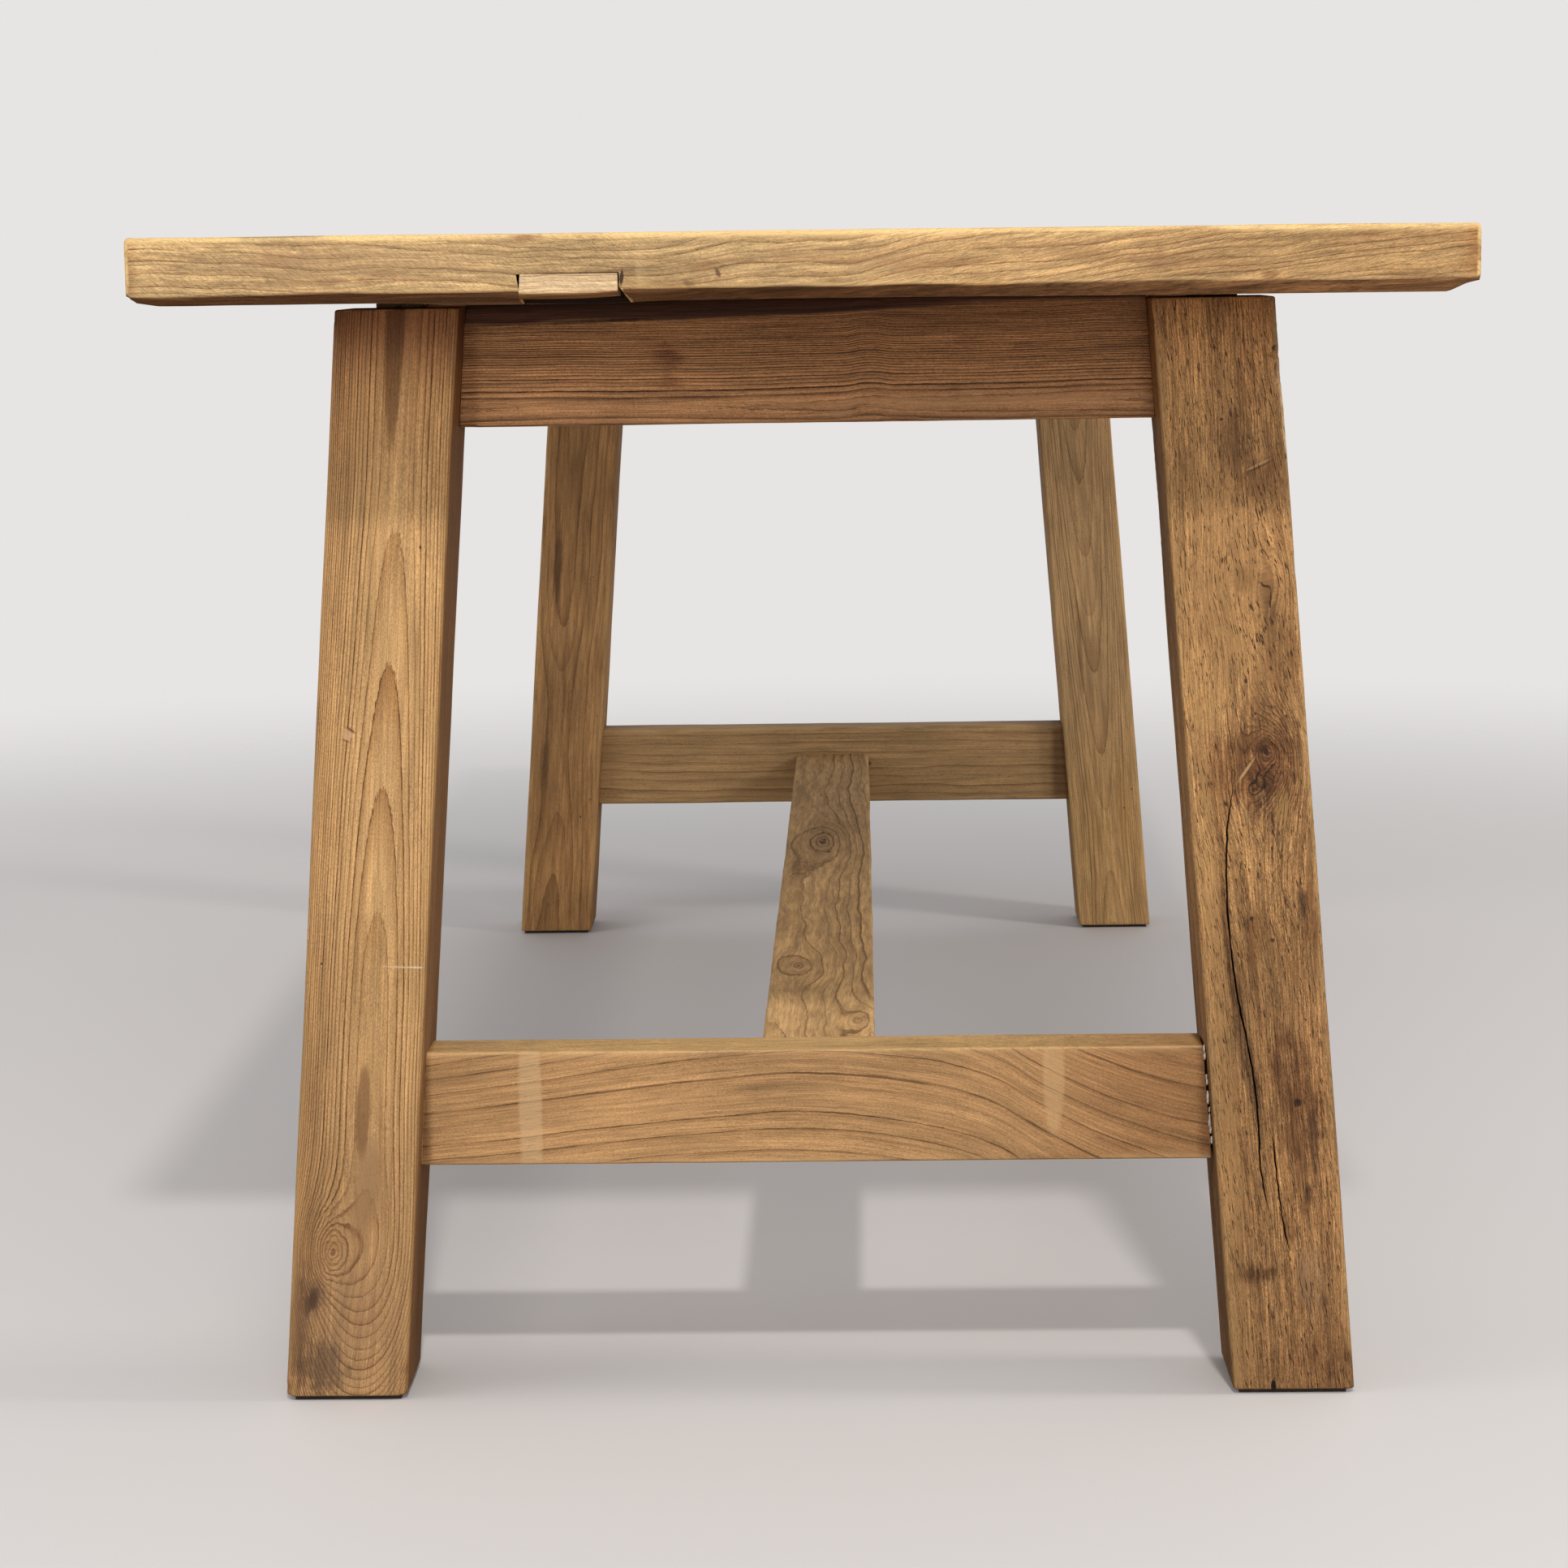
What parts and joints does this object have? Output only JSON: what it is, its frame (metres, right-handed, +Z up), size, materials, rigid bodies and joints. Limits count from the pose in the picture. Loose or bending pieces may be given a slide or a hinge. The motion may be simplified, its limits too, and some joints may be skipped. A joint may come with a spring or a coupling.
{
  "type": "dining table",
  "caption": "Rustic timber dining table: boarded top with breadboard ends on splayed leg frames tied by a low H stretcher.",
  "frame": {"origin": "on the floor, under the middle of the top", "axes": "+Y along the table with the near end at -Y, +X across it, +Z up"},
  "size_m": [0.825, 2, 0.783],
  "materials": {
    "elm_golden": "worn satin, hand planed",
    "elm_aged": "worn satin with old stains and checks",
    "elm_brown": "worn satin, ribbed grain",
    "pine_aged": "worn satin, brushed grain",
    "fresh_pine": "raw, freshly cut",
    "felt": "matt felt",
    "dried_glue": "dried white glue",
    "steel": "zinc plated"
  },
  "bodies": {
    "root": {"near_breadboard_end": "elm_golden", "far_breadboard_end": "elm_golden", "mortise_patch": "fresh_pine", "breadboard_pins": "elm_golden", "near_left_leg": "pine_aged", "near_right_leg": "elm_aged", "far_left_leg": "pine_aged", "far_right_leg": "pine_aged", "foot_pads": "felt", "near_upper_rail": "elm_brown", "far_upper_rail": "elm_brown", "near_lower_rail": "elm_golden", "far_lower_rail": "elm_aged", "shoulder_glue_bead": "dried_glue", "stretcher": "elm_golden", "left_apron": "elm_brown", "right_apron": "elm_brown", "top_buttons": "pine_aged", "button_screws": "steel", "top_plank_left_outer": "elm_golden", "top_plank_left_inner": "elm_golden", "top_plank_centre": "elm_golden", "top_plank_right_inner": "elm_golden", "top_plank_right_outer": "elm_golden", "plank_spline_1": "fresh_pine", "plank_spline_2": "fresh_pine", "plank_spline_3": "fresh_pine", "plank_spline_4": "fresh_pine"}
  },
  "joints": []
}
